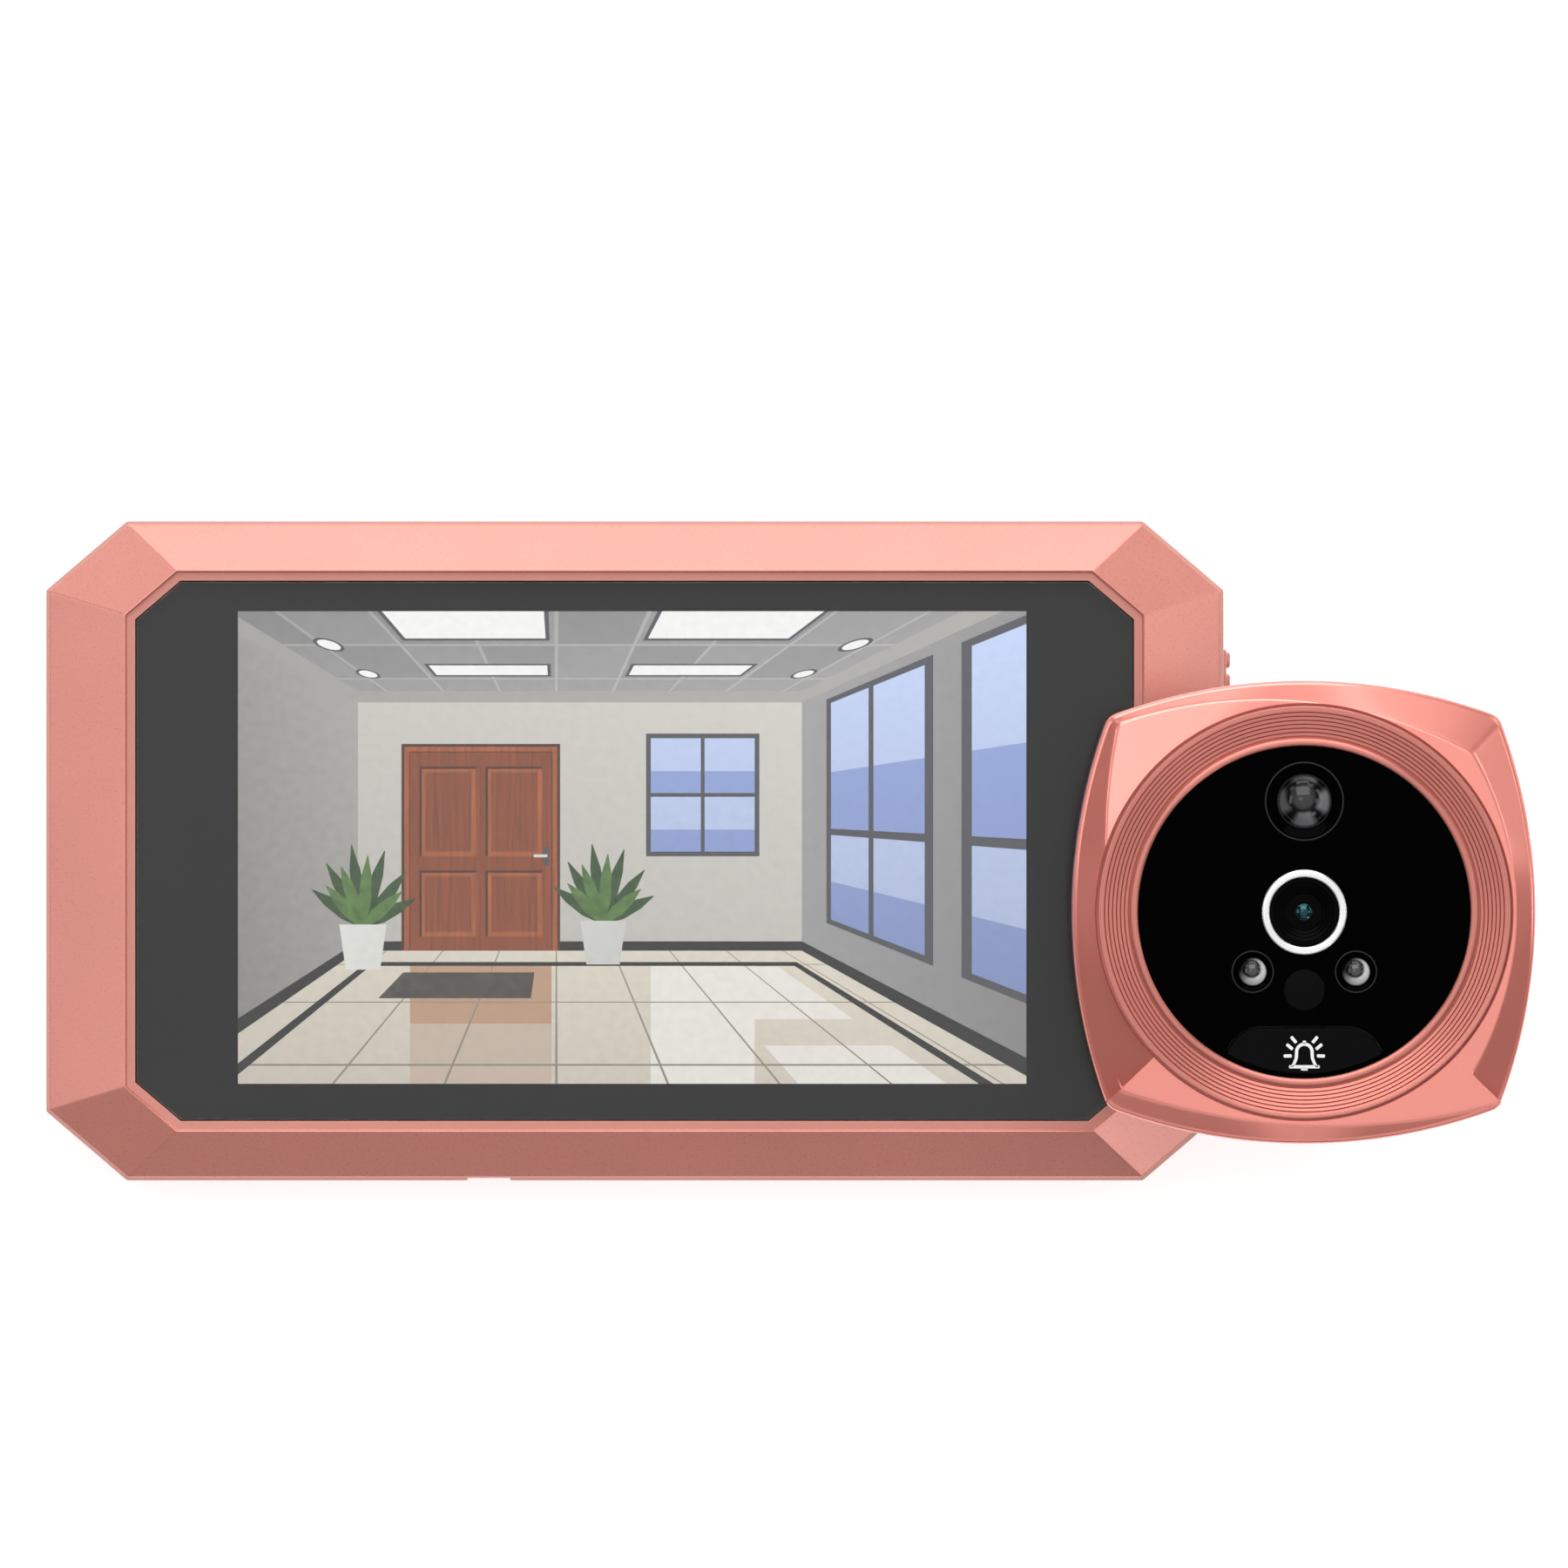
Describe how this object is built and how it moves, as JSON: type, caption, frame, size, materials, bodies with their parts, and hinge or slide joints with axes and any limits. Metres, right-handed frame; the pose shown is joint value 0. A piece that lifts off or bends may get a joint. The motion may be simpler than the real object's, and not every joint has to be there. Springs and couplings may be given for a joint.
{
  "type": "peephole door camera",
  "caption": "Peephole door camera set: a faceted indoor screen unit on a hook-on door bracket, and a cushion-shaped outdoor camera head on a hollow barrel with a clamp nut.",
  "frame": {"origin": "centre of the bracket's barrel hole, in the plane of the door that the screen unit hangs on", "axes": "+Z out of the screen and away from the door, +Y to the top of the screen, +X to the right of the screen, where the camera head stands on its barrel"},
  "size_m": [0.176, 0.0784, 0.044],
  "materials": {
    "case_paint": "satin metallic rose paint on moulded plastic",
    "head_paint": "semi-gloss rose paint on cast metal",
    "cover_glass": "clear polished",
    "mask_print": "printed dark grey border",
    "display": "liquid crystal display",
    "steel": "bright plated steel",
    "board": "solder mask",
    "chip_black": "moulded black",
    "battery_foil": "laminated foil",
    "connector_cream": "moulded nylon",
    "face_black": "gloss black acrylic",
    "button_black": "satin black",
    "motion_lens": "smoked polyethylene",
    "bright_ring": "bright satin",
    "lens_glass": "coated lens",
    "lamp_lens": "clear epoxy",
    "foam": "closed cell foam"
  },
  "bodies": {
    "screen_unit": {"front_frame": "case_paint", "rear_cover": "case_paint", "cover_glass": "cover_glass", "screen_mask": "mask_print", "lcd_panel": "display", "lcd_tray": "steel", "main_board": "board", "main_chips": "chip_black", "battery_pack": "battery_foil", "speaker": "chip_black", "key_switch": "chip_black", "usb_socket": "steel", "card_socket": "steel", "cable_socket": "connector_cream", "case_screws": "steel", "board_screws": "steel"},
    "side_key": {"side_key": "case_paint"},
    "bracket": {"mounting_bracket": "steel"},
    "camera_head": {"outer_housing": "head_paint", "trim_ring": "head_paint", "face_disc": "face_black", "pir_holder": "button_black", "pir_lens": "motion_lens", "pir_sensor": "steel", "camera_ring": "bright_ring", "lens_barrel": "chip_black", "lens_glass": "lens_glass", "sensor_holder": "chip_black", "ir_leds": "lamp_lens", "led_rings": "button_black", "light_window": "face_black", "light_sensor": "connector_cream", "bell_switch": "chip_black", "head_mic": "steel", "head_board": "board", "head_socket": "connector_cream", "head_board_screws": "steel", "back_plate": "chip_black", "back_screws": "steel", "foam_pad": "foam", "threaded_barrel": "steel"},
    "bell_button": {"bell_button": "button_black"},
    "clamp_washer": {"clamp_washer": "steel"},
    "clamp_nut": {"clamp_nut": "steel"}
  },
  "joints": [
    {"name": "key_press", "type": "slide", "parent": "screen_unit", "child": "side_key", "axis": [-1, 0, 0], "range_m": [0, 0.0006], "stiffness_N_per_m": 400},
    {"name": "bracket_unhook", "type": "slide", "parent": "screen_unit", "child": "bracket", "axis": [0, -1, 0], "range_m": [0, 0.004]},
    {"name": "head_lift", "type": "slide", "parent": "screen_unit", "child": "camera_head", "axis": [0, 0, 1], "range_m": [0, 0.06]},
    {"name": "bell_press", "type": "slide", "parent": "camera_head", "child": "bell_button", "axis": [0, 0, -1], "range_m": [0, 0.0006], "stiffness_N_per_m": 400},
    {"name": "washer_slide", "type": "slide", "parent": "camera_head", "child": "clamp_washer", "axis": [0, 0, -1], "range_m": [0, 0.009]},
    {"name": "nut_turn", "type": "hinge", "parent": "clamp_washer", "child": "clamp_nut", "pos_m": [0.0788, -0.0071, 0.026], "axis": [0, 0, -1], "range_deg": [0, 2161]}
  ],
  "couplings": [
    {"joint": "nut_turn", "follows": "washer_slide", "rad_per_m": 4188.8}
  ]
}
